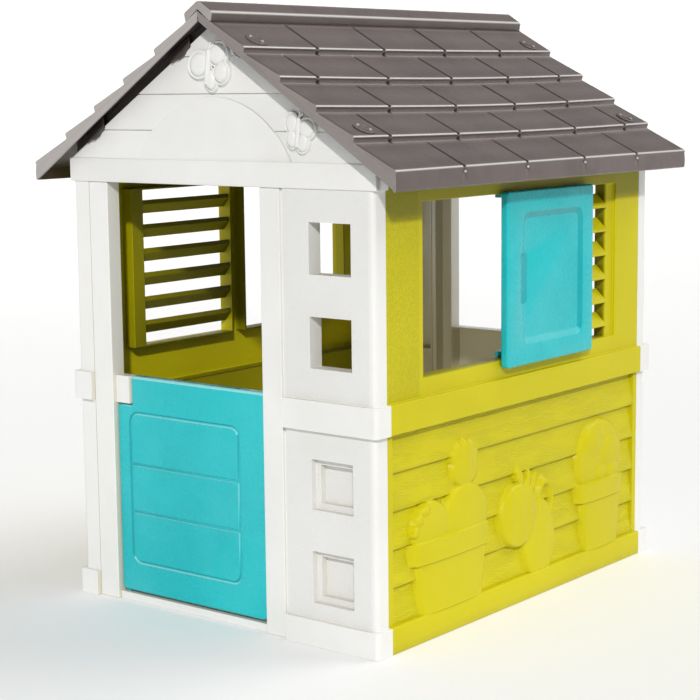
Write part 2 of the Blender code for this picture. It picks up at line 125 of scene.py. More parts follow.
def make_light():
    add_sun("key", KEY_TRAVEL, KEY_POWER, KEY_SPREAD)
    add_sun("back_fill", BACK_TRAVEL, BACK_POWER, BACK_SPREAD)
    add_inside_fill()
    world = bpy.data.worlds.new("studio")
    world.use_nodes = True
    tree = world.node_tree
    sky = tree.nodes["Background"]
    sky.inputs["Color"].default_value = SKY_COLOUR
    towards = tree.nodes.new("ShaderNodeTexCoord")
    split = tree.nodes.new("ShaderNodeSeparateXYZ")
    fade = tree.nodes.new("ShaderNodeMapRange")
    for socket, value in (("From Min", 0.15), ("From Max", 0.9), ("To Min", HORIZON_GLOW),
                          ("To Max", ZENITH_GLOW)):
        fade.inputs[socket].default_value = value
    tree.links.new(towards.outputs["Generated"], split.inputs["Vector"])
    tree.links.new(split.outputs["Z"], fade.inputs["Value"])
    tree.links.new(fade.outputs["Result"], sky.inputs["Strength"])
    SCENE.world = world
    SCENE.view_settings.view_transform = "Standard"


def make_stage():
    """A pale floor that turns up into a wall far from the house on every side."""
    profile = [(0.0, 0.0), (STAGE_RADIUS - STAGE_CURVE, 0.0)]
    for step in range(1, 13):
        angle = math.radians(7.5 * step)
        profile.append((STAGE_RADIUS - STAGE_CURVE + STAGE_CURVE * math.sin(angle),
                        STAGE_CURVE * (1.0 - math.cos(angle))))
    mesh = bpy.data.meshes.new("stage_floor")
    work = bmesh.new()
    points = [work.verts.new((radius, 0.0, height - 0.0005)) for radius, height in profile]
    edges = [work.edges.new(pair) for pair in zip(points, points[1:])]
    bmesh.ops.spin(work, geom=points + edges, cent=(0, 0, 0), axis=(0, 0, 1), angle=math.tau, steps=96,
                   use_merge=True)
    bmesh.ops.remove_doubles(work, verts=work.verts, dist=0.0001)
    bmesh.ops.recalc_face_normals(work, faces=work.faces)
    work.to_mesh(mesh)
    work.free()
    mesh.shade_smooth()
    paper = bpy.data.materials.new("stage_paper")
    paper.use_nodes = True
    shader = paper.node_tree.nodes["Principled BSDF"]
    for socket, value in (("Base Color", (0.8, 0.8, 0.8, 1.0)), ("Roughness", 0.9),
                          ("Emission Color", (1.0, 1.0, 1.0, 1.0)), ("Emission Strength", STAGE_GLOW)):
        shader.inputs[socket].default_value = value
    mesh.materials.append(paper)
    placed("stage_floor", mesh)


make_camera()
make_light()
make_stage()


# ---- dimensions read from the frame ----
GAP = 0.0003
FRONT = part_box("front_jamb_left")[0].y  # front wall's face
FRONT_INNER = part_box("front_jamb_left")[1].y
HALF_WIDTH = 0.407  # side wall's face
SIDE_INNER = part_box("right_lower")[0].x
BAND_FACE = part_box("right_lower")[1].x  # face of the foot and waist bands
SIDE_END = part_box("right_lower")[1].y
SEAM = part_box("right_lower")[1].z  # top of the lower side wall
ROOF_LOW, ROOF_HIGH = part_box("roof_right")
RIDGE_LOW, RIDGE_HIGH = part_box("ridge_cap")
GABLE_LOW, GABLE_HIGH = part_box("front_gable")
DOOR_LOW, DOOR_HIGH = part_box("door_panel")
SHUTTER_LOW, SHUTTER_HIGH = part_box("right_shutter")

FOOT_TOP = 0.054
WAIST_TOP = 0.4955
BEAM_TOP = 0.957
GABLE_SLOPE = 0.65
ROW_TOP_Z = 1.2566  # the tile rows' lower edges lie on ROW_TOP_Z - ROW_SLOPE * x
ROW_SLOPE = 0.635
ROW_X = (0.1231, 0.2137, 0.3018, 0.3906, ROOF_HIGH.x)
ROW_STEP = 0.0115
ROOF_SKIN = 0.006


# ---- materials ----
class Look:
    """One procedural plastic, built step by step on a material's nodes."""

    def __init__(self, name, roughness, coat, gleam=0.5):
        self.made = bpy.data.materials.new(name)
        self.made.use_nodes = True
        self.tree = self.made.node_tree
        self.shader = self.tree.nodes["Principled BSDF"]
        self.feed(self.shader, "Coat Weight", coat)
        self.feed(self.shader, "Coat Roughness", 0.12)
        self.feed(self.shader, "Specular IOR Level", gleam)
        self.place = self.node("TexCoord", {}).outputs["Object"]
        split = self.node("SeparateXYZ", {"Vector": self.place})
        self.x, self.y, self.z = split.outputs
        self.normal = None
        patches = self.noise(45.0, 4.0)
        self.feed(self.shader, "Roughness", self.span(patches, 0.3, 0.7, roughness - 0.05, roughness + 0.07))

    def feed(self, node, socket, value):
        if isinstance(value, bpy.types.NodeSocket):
            self.tree.links.new(value, node.inputs[socket])
        else:
            node.inputs[socket].default_value = value

    def node(self, kind, feeds, **settings):
        made = self.tree.nodes.new("ShaderNode" + kind)
        for key, value in settings.items():
            setattr(made, key, value)
        for socket, value in feeds.items():
            self.feed(made, socket, value)
        return made

    def noise(self, scale, detail, distortion=0.0, place=None):
        feeds = {"Vector": self.place if place is None else place, "Scale": scale, "Detail": detail,
                 "Roughness": 0.55, "Distortion": distortion}
        return self.node("TexNoise", feeds).outputs["Fac"]

    def cells(self, scale):
        return self.node("TexVoronoi", {"Vector": self.place, "Scale": scale}).outputs["Distance"]

    def math(self, operation, first, second=0.0, **settings):
        return self.node("Math", {0: first, 1: second}, operation=operation, **settings).outputs[0]

    def times(self, first, second):
        return self.math("MULTIPLY", first, second)

    def span(self, value, low, high, to_low, to_high):
        feeds = {"Value": value, "From Min": low, "From Max": high, "To Min": to_low, "To Max": to_high}
        return self.node("MapRange", feeds, interpolation_type="SMOOTHSTEP").outputs["Result"]

    def between(self, value, low, high):
        """One inside the range and zero outside it, with soft ends."""
        soft = 0.002
        rises = self.span(value, low - soft, low + soft, 0.0, 1.0)
        falls = self.span(value, high - soft, high + soft, 1.0, 0.0)
        return self.times(rises, falls)

    def mix(self, share, first, second):
        made = self.node("Mix", {0: share}, data_type="RGBA")
        for socket, colour in ((6, first), (7, second)):
            self.feed(made, socket, colour if isinstance(colour, bpy.types.NodeSocket) else (*colour, 1.0))
        return made.outputs[2]

    def stretched(self, scale):
        """Object coordinates stretched by a factor on each axis."""
        return self.node("Mapping", {"Vector": self.place, "Scale": scale}).outputs["Vector"]

    def bump(self, height, strength, depth):
        feeds = {"Height": height, "Strength": strength, "Distance": depth}
        if self.normal is not None:
            feeds["Normal"] = self.normal
        self.normal = self.node("Bump", feeds).outputs["Normal"]

    def tone(self):
        """The number that the mesh holds for each vertex."""
        return self.node("Attribute", {}, attribute_name="tone").outputs["Fac"]

    def painted_light_and_shade(self, colour, light=(1.0, 0.97, 0.95), dark=(0.02, 0.013, 0.012)):
        """Colour after the mesh's tone, which holds painted highlight, painted shade and the roof's darker
        joints: above zero lighter, below zero darker.
        """
        up = self.math("MULTIPLY", self.tone(), 0.5, use_clamp=True)
        down = self.math("MULTIPLY", self.tone(), -1.0, use_clamp=True)
        return self.mix(self.math("MINIMUM", down, 0.9), self.mix(up, colour, light), dark)

    def edges(self, radius):
        """One on edges narrower than the radius, zero on flat and gently curved faces."""
        soft = self.node("Bevel", {"Radius": radius}, samples=4).outputs["Normal"]
        true = self.node("NewGeometry", {}).outputs["Normal"]
        match = self.node("VectorMath", {0: soft, 1: true}, operation="DOT_PRODUCT").outputs["Value"]
        return self.span(match, 0.9, 0.995, 1.0, 0.0)

    def painted_shade(self, depth):
        """Painted shade for the house's shaded inside and for corners: the share of shade colour, none in the
        open, most on deep inward faces.
        """
        seen = self.node("NewGeometry", {}).outputs
        facing, place = seen["Normal"], seen["Position"]
        flat = self.node("VectorMath", {0: place, 1: (1.0, 1.0, 0.0)}, operation="MULTIPLY").outputs["Vector"]
        outwards = self.node("VectorMath", {0: flat, 1: facing}, operation="DOT_PRODUCT").outputs["Value"]
        inwards = self.span(outwards, -0.05, 0.1, 1.0, 0.0)
        side = self.math("ABSOLUTE", self.node("SeparateXYZ", {"Vector": place}).outputs["X"])
        inwards = self.times(inwards, self.span(side, 0.392, 0.399, 1.0, 0.0))
        open_air = self.node("AmbientOcclusion", {"Distance": 0.9}, samples=8).outputs["AO"]
        deep = self.times(self.span(open_air, 0.15, 0.95, depth, 0.0), inwards)
        corner = self.span(open_air, 0.05, 0.38, depth * 0.5, 0.0)
        return self.math("MAXIMUM", deep, corner)

    def finish(self, colour, worn_highlight, worn_highlight_share=0.5, depth=0.75, shade_colour=(0.0, 0.0, 0.0)):
        """Edges lighter for wear and painted highlight, painted shade inside the house and in corners; sets
        the base colour and the normal.
        """
        patches = self.span(self.noise(30.0, 3.0), 0.3, 0.6, 0.45, 1.0)
        # Edges lighter: partly wear, partly painted highlight.
        share = self.times(self.times(self.edges(0.0022), worn_highlight_share), patches)
        colour = self.mix(share, colour, worn_highlight)
        self.feed(self.shader, "Base Color", self.mix(self.painted_shade(depth), colour, shade_colour))
        self.feed(self.shader, "Normal", self.normal)
        return self.made


def base_colour(look, deep, clear):
    """Slow clouds of two close tones with a fine speckle."""
    clouds = look.span(look.noise(3.5, 3.0), 0.35, 0.65, 0.0, 1.0)
    speckle = look.span(look.noise(620.0, 2.0), 0.3, 0.7, 0.0, 0.35)
    share = look.math("ADD", look.times(clouds, 0.65), speckle)
    return look.mix(share, deep, clear)


def add_peel(look):
    """The faint orange peel of injection-moulded plastic."""
    look.bump(look.noise(380.0, 3.0), 0.1, 0.0006)


WHITE_DEEP = (0.745, 0.745, 0.725)
WHITE_CLEAR = (0.815, 0.815, 0.8)
WHITE_PITS = (0.62, 0.62, 0.61)
# Edge colour: partly wear, partly painted highlight.
WHITE_WORN_HIGHLIGHT = (0.9, 0.9, 0.89)
# Painted shade for the inside of the house and for corners.
WHITE_PAINTED_SHADE = (0.58, 0.52, 0.34)
LIME_DEEP = (0.535, 0.475, 0.002)
LIME_CLEAR = (0.6, 0.535, 0.004)
LIME_PITS = (0.36, 0.345, 0.003)
LIME_GRAIN = (0.42, 0.405, 0.004)
# Painted shadow of the eave on the lime frames.
LIME_EAVE_SHADOW = (0.12, 0.125, 0.02)
# Edge colour: partly wear, partly painted highlight.
LIME_WORN_HIGHLIGHT = (0.68, 0.63, 0.03)
# Painted shade for the inside of the house and for corners.
LIME_PAINTED_SHADE = (0.03, 0.032, 0.001)
TAUPE_DEEP = (0.094, 0.072, 0.068)
TAUPE_CLEAR = (0.122, 0.096, 0.09)
TAUPE_CLOUD = (0.127, 0.098, 0.091)
# Edge colour: partly wear, partly painted highlight.
TAUPE_WORN_HIGHLIGHT = (0.4, 0.355, 0.33)
TEAL_DEEP = (0.002, 0.43, 0.465)
TEAL_CLEAR = (0.006, 0.51, 0.545)
TEAL_CLOUD = (0.08, 0.6, 0.64)
# Edge colour: partly wear, partly painted highlight.
TEAL_WORN_HIGHLIGHT = (0.16, 0.72, 0.76)
# Painted highlight and painted shade colours for the teal pieces.
TEAL_HIGHLIGHT_AND_SHADE = ((0.75, 1.0, 1.0), (0.0, 0.2, 0.235))


def stipple_bump(look, mask):
    """Leather-like pebbles where the mask is one."""
    clumps = look.times(look.noise(260.0, 3.0), 0.8)
    pebbles = look.math("ADD", look.cells(430.0), clumps)
    look.bump(look.times(pebbles, mask), 0.55, 0.0009)
    return pebbles


def make_white():
    look = Look("white_moulding", 0.36, 0.1)
    add_peel(look)
    return look.finish(base_colour(look, WHITE_DEEP, WHITE_CLEAR), WHITE_WORN_HIGHLIGHT, 0.5, 0.6, WHITE_PAINTED_SHADE)


def make_white_stipple():
    look = Look("white_stippled", 0.46, 0.0)
    lower = look.between(look.z, FOOT_TOP + 0.003, SEAM - 0.002)
    upper = look.between(look.z, WAIST_TOP + 0.003, 1.0)
    mask = look.times(look.math("ADD", lower, upper), look.span(look.x, 0.391, 0.397, 1.0, 0.0))
    add_peel(look)
    pebbles = stipple_bump(look, mask)
    shade = look.times(look.span(pebbles, 0.35, 0.85, 0.0, 0.3), mask)
    colour = look.mix(shade, base_colour(look, WHITE_DEEP, WHITE_CLEAR), WHITE_PITS)
    return look.finish(colour, WHITE_WORN_HIGHLIGHT, 0.5, 0.6, WHITE_PAINTED_SHADE)


def make_lime():
    look = Look("lime_moulding", 0.38, 0.0, 0.2)
    add_peel(look)
    return look.finish(base_colour(look, LIME_DEEP, LIME_CLEAR), LIME_WORN_HIGHLIGHT, 0.5, 0.9, LIME_PAINTED_SHADE)


def make_lime_stipple():
    """The window frames: a pebbled pillar at the house's front corner, smooth elsewhere."""
    look = Look("lime_stippled", 0.42, 0.0, 0.2)
    above = look.math("GREATER_THAN", look.z, WAIST_TOP + 0.002)
    outside = look.math("GREATER_THAN", look.x, HALF_WIDTH - 0.003)
    front = look.span(look.y, -0.378, -0.374, 1.0, 0.0)
    mask = look.times(look.times(front, above), outside)
    add_peel(look)
    pebbles = stipple_bump(look, mask)
    mottle = look.span(look.noise(170.0, 4.0), 0.38, 0.62, 0.25, 0.75)
    dark = look.times(look.span(pebbles, 0.3, 0.9, 0.15, 0.65), mottle)
    colour = look.mix(look.times(dark, mask), base_colour(look, LIME_DEEP, LIME_CLEAR), LIME_PITS)
    # Painted shadow of the eave across the outside of the frames near their top.
    eave_shadow = look.span(look.z, 0.838, 0.862, 0.0, 0.5)
    colour = look.mix(look.times(eave_shadow, outside), colour, LIME_EAVE_SHADOW)
    return look.finish(colour, LIME_WORN_HIGHLIGHT, 0.5, 0.9, LIME_PAINTED_SHADE)


def make_lime_wood():
    """Planks with fine wavy grain that runs along Y; the raised figures stay smooth."""
    look = Look("lime_wood_grain", 0.4, 0.0, 0.2)
    add_peel(look)
    slow = look.noise(1.7, 2.0, 1.2, look.stretched((1.0, 3.0, 11.0)))
    quick = look.noise(1.5, 3.0, place=look.stretched((1.0, 14.0, 90.0)))
    phase = look.times(look.z, 1500.0)
    phase = look.math("ADD", phase, look.times(slow, 46.0))
    phase = look.math("ADD", phase, look.times(quick, 5.0))
    lines = look.span(look.math("SINE", phase), -0.9, 0.9, 0.0, 1.0)
    fade = look.span(look.noise(1.3, 2.0, place=look.stretched((1.0, 9.0, 40.0))), 0.35, 0.62, 0.15, 1.0)
    on_planks = look.times(look.math("GREATER_THAN", look.z, FOOT_TOP + 0.001), look.tone())
    strength = look.times(fade, on_planks)
    look.bump(look.times(lines, strength), 0.5, 0.0012)
    shade = look.times(look.span(lines, 0.0, 0.5, 0.48, 0.0), strength)
    colour = look.mix(shade, base_colour(look, LIME_DEEP, LIME_CLEAR), LIME_GRAIN)
    return look.finish(colour, LIME_WORN_HIGHLIGHT, 0.3, 0.6, LIME_PAINTED_SHADE)


def make_taupe():
    look = Look("taupe_moulding", 0.36, 0.12)
    add_peel(look)
    streaks = look.noise(1.5, 3.0, 0.3, look.stretched((3.0, 45.0, 3.0)))
    look.bump(streaks, 0.1, 0.0007)
    tone = look.span(look.noise(8.0, 3.0), 0.35, 0.65, 0.0, 1.0)
    colour = look.mix(tone, base_colour(look, TAUPE_DEEP, TAUPE_CLEAR), TAUPE_CLOUD)
    # Painted highlight and shade from the mesh's tone.
    return look.finish(look.painted_light_and_shade(colour), TAUPE_WORN_HIGHLIGHT, 0.35, 0.85)


def make_teal():
    look = Look("teal_gloss", 0.26, 0.1, 0.35)
    look.bump(look.noise(24.0, 2.0), 0.06, 0.0006)
    look.bump(look.noise(420.0, 2.0), 0.04, 0.0003)
    glow = look.span(look.noise(4.5, 2.0, 0.4), 0.35, 0.68, 0.0, 0.22)
    colour = look.mix(glow, base_colour(look, TEAL_DEEP, TEAL_CLEAR), TEAL_CLOUD)
    # Painted highlight and shade from the mesh's tone.
    return look.finish(look.painted_light_and_shade(colour, *TEAL_HIGHLIGHT_AND_SHADE), TEAL_WORN_HIGHLIGHT, 0.25, 0.6)


WHITE = make_white()
WHITE_STIPPLE = make_white_stipple()
LIME = make_lime()
LIME_STIPPLE = make_lime_stipple()
LIME_WOOD = make_lime_wood()
TAUPE = make_taupe()
TEAL = make_teal()

SLOTS = {look.name: "white_plastic" for look in (WHITE, WHITE_STIPPLE)}
SLOTS.update({look.name: "lime_plastic" for look in (LIME, LIME_STIPPLE, LIME_WOOD)})
SLOTS.update({TAUPE.name: "taupe_plastic", TEAL.name: "teal_plastic"})


# ---- mesh helpers ----
WELD_DISTANCE = 0.00002
SOFT_EDGE_ANGLE = 32.0  # degrees; edges sharper than this are rounded
TO_AXIS = {
    "x": Matrix(((0, 0, 1, 0), (1, 0, 0, 0), (0, 1, 0, 0), (0, 0, 0, 1))),
    "y": Matrix(((1, 0, 0, 0), (0, 0, -1, 0), (0, 1, 0, 0), (0, 0, 0, 1))),
    "z": Matrix.Identity(4),
}


def mesh_from(work, name):
    bmesh.ops.recalc_face_normals(work, faces=work.faces)
    mesh = bpy.data.meshes.new(name)
    work.to_mesh(mesh)
    work.free()
    return mesh


def bridge(work, first, second):
    """Faces between two closed loops with the same number of points."""
    count = len(first)
    for index in range(count):
        after = (index + 1) % count
        work.faces.new((first[index], first[after], second[after], second[index]))


def prism(name, outline, axis, low, high):
    """A flat outline extruded along an axis. Outline points are (y, z), (x, z) or (x, y)."""
    work = bmesh.new()
    ends = []
    for level in (low, high):
        height = -level if axis == "y" else level
        ends.append([work.verts.new((u, v, height)) for u, v in outline])
    work.faces.new(ends[0])
    work.faces.new(ends[1])
    bridge(work, *ends)
    bmesh.ops.transform(work, matrix=TO_AXIS[axis], verts=work.verts)
    return mesh_from(work, name)


def arc(centre, radius, start, end, steps):
    """Points on an arc, angles in degrees."""
    points = []
    for step in range(steps + 1):
        angle = math.radians(start + (end - start) * step / steps)
        points.append((centre[0] + radius * math.cos(angle), centre[1] + radius * math.sin(angle)))
    return points


def rounded(u, v, radius, steps=8):
    """A rectangle between two values on each axis, with round corners."""
    low_u, high_u = u[0] + radius, u[1] - radius
    low_v, high_v = v[0] + radius, v[1] - radius
    corners = ((high_u, low_v), (high_u, high_v), (low_u, high_v), (low_u, low_v))
    return [point for turn, corner in enumerate(corners)
            for point in arc(corner, radius, 90 * turn - 90, 90 * turn, steps)]


def loft(name, sections):
    """A closed solid through a row of closed sections with the same number of points."""
    work = bmesh.new()
    loops = [[work.verts.new(point) for point in section] for section in sections]
    for first, second in zip(loops, loops[1:]):
        bridge(work, first, second)
    work.faces.new(loops[0])
    work.faces.new(loops[-1])
    return mesh_from(work, name)


def tube(name, path, radius, closed):
    """A round bar along a path."""
    curve = bpy.data.curves.new(name, "CURVE")
    curve.dimensions = "3D"
    curve.bevel_depth = radius
    curve.bevel_resolution = 3
    curve.use_fill_caps = True
    spline = curve.splines.new("POLY")
    spline.points.add(len(path) - 1)
    for point, place in zip(spline.points, path):
        point.co = (*place, 1.0)
    spline.use_cyclic_u = closed
    drawn = placed(name, curve)
    mesh = baked(drawn)
    bpy.data.objects.remove(drawn, do_unlink=True)
    return mesh


def baked(drawn):
    graph = bpy.context.evaluated_depsgraph_get()
    return bpy.data.meshes.new_from_object(drawn.evaluated_get(graph))


def set_tones(mesh, tones):
    """Store the number that the material reads at each vertex."""
    mesh.attributes.new("tone", "FLOAT", "POINT").data.foreach_set("value", tones)


def gathered(name, meshes, tones=()):
    """Several closed shells in one mesh, each vertex with its tone if tones are given."""
    work = bmesh.new()
    for mesh in meshes:
        work.from_mesh(mesh)
    made = mesh_from(work, name)
    if tones:
        set_tones(made, tones)
    return made


def worked(name, mesh, joined=(), cut=(), round_off=0.0, segments=3, angle=SOFT_EDGE_ANGLE,
           clamp=True):
    """A mesh after Booleans with other meshes and rounding of its edges."""
    drawn = placed(name, mesh)
    tools = []
    for operation, others in (("UNION", joined), ("DIFFERENCE", cut)):
        for other in others:
            tools.append(placed(name + "_tool", other))
            change = drawn.modifiers.new("change", "BOOLEAN")
            change.operation = operation
            change.solver = "EXACT"
            change.object = tools[-1]
    if round_off > 0.0:
        drawn.modifiers.new("weld", "WELD").merge_threshold = WELD_DISTANCE
        edges = drawn.modifiers.new("edges", "BEVEL")
        edges.width = round_off
        edges.segments = segments
        edges.limit_method = "ANGLE"
        edges.angle_limit = math.radians(angle)
        edges.use_clamp_overlap = clamp
    made = baked(drawn)
    for item in tools + [drawn]:
        bpy.data.objects.remove(item, do_unlink=True)
    return made


def piece(name, mesh, look, stands_for, body="house", turned=False, sharp=40.0):
    """A finished piece in the scene: its look, its shading, its CAD node and what it rides on."""
    mesh.materials.clear()
    mesh.materials.append(look)
    mesh.shade_smooth()
    mesh.set_sharp_from_angle(angle=math.radians(sharp))
    made = placed(name, mesh)
    if turned:
        made.rotation_euler = (0.0, 0.0, math.pi)
    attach(made, body)
    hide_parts(stands_for)


def pair(nodes, label, mesh, look, sharp=40.0):
    """A piece for each of two like CAD nodes, the second turned half a turn about Z."""
    for node, turned in zip(nodes, (False, True)):
        piece(f"{node}_{label}", mesh, look, node, turned=turned, sharp=sharp)


# ---- roof ----
ROW_SAG = (0.004, 0.009, 0.01, 0.006, 0.0)  # how far a row's lower edge bows down at mid-length
TILE = 0.221
GROOVE_HALF = 0.006
GROOVE_FLOOR = 0.0042
GROOVE_DEEP = 0.0036
VERGE = 0.019  # smooth strip along each sloping end
VERGE_COLUMNS = (0.0012, 0.0025, 0.005, 0.007, 0.0095, VERGE, VERGE + 0.002)
COLUMN_STEP = 0.02
SLOPE_START = (RIDGE_HIGH.x - 0.0025, RIDGE_LOW.z - 0.001)
UNDERSIDE_Z = ROW_TOP_Z - ROW_STEP - ROOF_SKIN
LIP_TOP_Z = 1.2316  # lower edge of the lip along each sloping end
LIP_SLOPE = 0.6677
RAIL_X = (0.012, 0.4)
RAIL_Y = (0.485, 0.51)
LUG_CENTRES = (0.078, 0.33)
LUG_HALF = 0.026
LUG_HOOK = ((LUG_HALF, 0.006), (0.012, 0.004), (0.004, -0.001), (-0.01, -0.002), (-0.016, 0.003),
            (-LUG_HALF, 0.004))
PEG_RADIUS = 0.0028
PEG_Z = 0.9375


def row_line(row, y):
    """Where a tile row's lower edge runs."""
    x = ROW_X[row] + ROW_SAG[row] * math.cos(math.pi * y / (2.0 * ROOF_HIGH.y))
    return Vector((x, y, ROW_TOP_Z - ROW_SLOPE * x))


def row_joints(row):
    half = TILE / 2 if row % 2 == 0 else 0.0
    places = [half + TILE * step for step in range(-3, 3)]
    return [y for y in places if abs(y) < ROOF_HIGH.y - 0.05]


def groove(y, joints):
    """How deep the tile joints cut at a place along the row."""
    nearest = min(abs(y - joint) for joint in joints)
    share = (GROOVE_HALF - nearest) / (GROOVE_HALF - GROOVE_FLOOR)
    return GROOVE_DEEP * min(1.0, max(0.0, share))


def roof_columns():
    columns = {-ROOF_HIGH.y, ROOF_HIGH.y}
    for side in (-1, 1):
        columns.update(side * (ROOF_HIGH.y - inset) for inset in VERGE_COLUMNS)
    columns.update(COLUMN_STEP * step for step in range(-27, 28))
    for row in range(2):
        for joint in row_joints(row):
            columns.update(joint + offset for offset in
                           (-GROOVE_HALF, -GROOVE_FLOOR, GROOVE_FLOOR, GROOVE_HALF))
    ordered = sorted(round(y, 5) for y in columns)
    kept = ordered[:1]
    for y in ordered[1:]:
        if y - kept[-1] > 0.0008:
            kept.append(y)
    return kept


# Painted light on the roof's two end faces.
END_PAINTED_LIGHT = (0.26, 0.62)  # how much lighter the roof's two ends are
END_ROUND = 0.001  # how far the end's rim is rounded off
# Points on each row and on its lip with their painted highlight: faint below the step, bright on the lip's
# rounding.
ROW_HIGHLIGHT_POINTS = ((0.06, 0.15), (0.16, 0.0), (0.5, 0.04), (0.8, 0.0))
LIP_HIGHLIGHT_POINTS = ((0.012, 0.0, 0.0), (0.005, -0.0003, 0.05), (0.0034, -0.0002, 0.85),
             (0.0014, 0.0004, 1.15), (0.0004, 0.0014, 0.55))


def roof_section(y):
    """Section of the right slope with a tone for each point: painted highlight and painted shade, and darker
    tile joints and verge lines.

    Five stepped rows with painted highlights on their lower lips and painted shade on the risers below them,
    the fascia and the thin underside in painted shade; the end faces in painted light.
    """
    edge = ROOF_HIGH.y - abs(y)
    at_end = edge < 0.001
    start = Vector((SLOPE_START[0], y, SLOPE_START[1]))
    # The point under the ridge cap is in painted shade.
    section = [(Vector((GAP, y, RIDGE_LOW.z + 0.021)), 0.0), (start.copy(), -0.5)]
    for row in range(len(ROW_X)):
        end = row_line(row, y)
        span = end - start
        cut = groove(y, row_joints(row)) if edge > VERGE else 0.0
        dark = cut / GROOVE_DEEP
        if at_end:
            cut = END_ROUND
        length = span.length
        along = span / length
        normal = Vector((-along.z, 0.0, along.x))
        verge = -0.6 if 0.003 < edge < 0.009 else 0.0
        for share, tone in ROW_HIGHLIGHT_POINTS:
            section.append((start + span * share - normal * cut, tone + verge - dark))
        for back, fall, tone in LIP_HIGHLIGHT_POINTS:
            place = start + along * (length - back) - normal * (fall + cut)
            section.append((place, tone - 1.6 * dark))
        last = row + 1 == len(ROW_X)
        # Painted shade on the riser under each lip, then painted highlight where the next row starts.
        section.append((end - normal * (0.003 + cut), 0.0 if last else -0.7 - dark))
        section.append((end - normal * (0.0055 + cut), 0.0 if last else 0.02 - dark))
        if not last:
            start = end + Vector((-0.0035, 0.0, -ROW_STEP))
            section.append((start + Vector((-cut, 0.0, 0.0)), 0.12 - dark))
            section.append((start + along * 0.0022, 0.42 - dark))
    inner_x = ROOF_HIGH.x - ROOF_SKIN
    # The fascia and the thin underside in painted shade.
    for x, z, tone in ((ROOF_HIGH.x - 0.001, ROOF_LOW.z + 0.016, 0.0),
                       (ROOF_HIGH.x - 0.002, ROOF_LOW.z + 0.002, 0.0),
                       (ROOF_HIGH.x - 0.004, ROOF_LOW.z, -0.2), (inner_x - 0.002, ROOF_LOW.z, -0.3),
                       (inner_x, UNDERSIDE_Z - ROW_SLOPE * inner_x, -0.45), (GAP, UNDERSIDE_Z, -0.45)):
        section.append((Vector((x, y, z)), tone))
    # The end faces all in painted light.
    if at_end:
        section = [(place, END_PAINTED_LIGHT[y > 0.0]) for place, _ in section]
    return section


def slope_bar(name, x, bottom_z, fall, y):
    """A bar under the slope between two values of X; its lower edge falls along X."""
    under = UNDERSIDE_Z + 0.002
    outline = [(x[0], under - ROW_SLOPE * x[0]), (x[1], under - ROW_SLOPE * x[1]),
               (x[1], bottom_z - fall * x[1]), (x[0], bottom_z - fall * x[0])]
    return worked(name, prism(name, outline, "y", *sorted(y)), round_off=0.0012, segments=2)


def make_roof():
    sections = [roof_section(y) for y in roof_columns()]
    shells = [loft("slope", [[place for place, _ in section] for section in sections])]
    tones = [tone for section in sections for _, tone in section]
    lip_end = ROOF_HIGH.x - 0.003
    bars = []
    for side in (-1, 1):
        outer = side * (ROOF_HIGH.y - 0.0002)
        # End lips in painted light.
        bars.append((slope_bar("lip", (0.0016, lip_end), LIP_TOP_Z, LIP_SLOPE,
                               (outer, side * (ROOF_HIGH.y - 0.006))), END_PAINTED_LIGHT[side > 0]))
        # Rails in painted shade.
        bars.append((slope_bar("rail", RAIL_X, GABLE_HIGH.z + 2 * GAP, GABLE_SLOPE,
                               (side * RAIL_Y[0], side * RAIL_Y[1])), -0.6))
        # Lugs dark with painted shade.
        bars += [(roof_lug(centre, side), -0.97) for centre in LUG_CENTRES]
    # Pegs as painted highlights.
    for joint in row_joints(0):
        peg = bmesh.new()
        bmesh.ops.create_uvsphere(peg, u_segments=12, v_segments=8, radius=PEG_RADIUS,
                                  matrix=Matrix.Translation((ROOF_HIGH.x - 0.0008, joint, PEG_Z)))
        bars.append((mesh_from(peg, "peg"), 0.9))
    for mesh, tone in bars:
        shells.append(mesh)
        tones += [tone] * len(mesh.vertices)
    slope = gathered("roof_slope", shells, tones)
    pair(("roof_right", "roof_left"), "tiles", slope, TAUPE, 35)


def roof_lug(centre, side):
    """A small hooked clip that hangs from the rail over the gable's sloping edge."""
    top = UNDERSIDE_Z - 0.002
    low = GABLE_HIGH.z - 0.01
    outline = [(x, top - ROW_SLOPE * x) for x in (centre - LUG_HALF, centre + LUG_HALF)]
    outline += [(centre + along, low - GABLE_SLOPE * (centre + along) + lift) for along, lift in LUG_HOOK]
    y = sorted((side * (-FRONT + GAP), side * (-FRONT + 0.006)))
    return worked("lug", prism("lug", outline, "y", *y), round_off=0.0015, segments=2)


CAP_EDGE_Z = 1.249
# Painted highlight on the ridge and on the flanks' bead, painted shade on the underside.
CAP_LIGHT_AND_SHADE = (0.15, 0.15, 0.0, 0.0, 0.9, 0.9, 0.0, -0.2, -0.3, -0.3, -0.6)
# Painted light on the cap's end faces.
CAP_END_PAINTED_LIGHT = 0.5
CAP_STEP = 0.05


def cap_section(y, shrink):
    """Section of the ridge cap: a blunt ridge, two flanks with a bead, and a notched underside."""
    half = RIDGE_HIGH.x - shrink
    top = RIDGE_HIGH.z - shrink
    low = RIDGE_LOW.z + shrink
    edge_z = CAP_EDGE_Z - shrink * 0.5
    right = [(0.0, top), (0.0035, top - 0.0007), (0.009, top - 0.0042), (half - 0.006, edge_z + 0.003),
             (half - 0.0022, edge_z + 0.001), (half - 0.0004, edge_z - 0.0016), (half, edge_z - 0.0045),
             (half - 0.002, low + 0.003), (half - 0.0035, low), (half - 0.0055, low + 0.0008),
             (0.0, low + 0.0235)]
    left = [(-x, z) for x, z in right[-2:0:-1]]
    return [Vector((x, y, z)) for x, z in right + left]


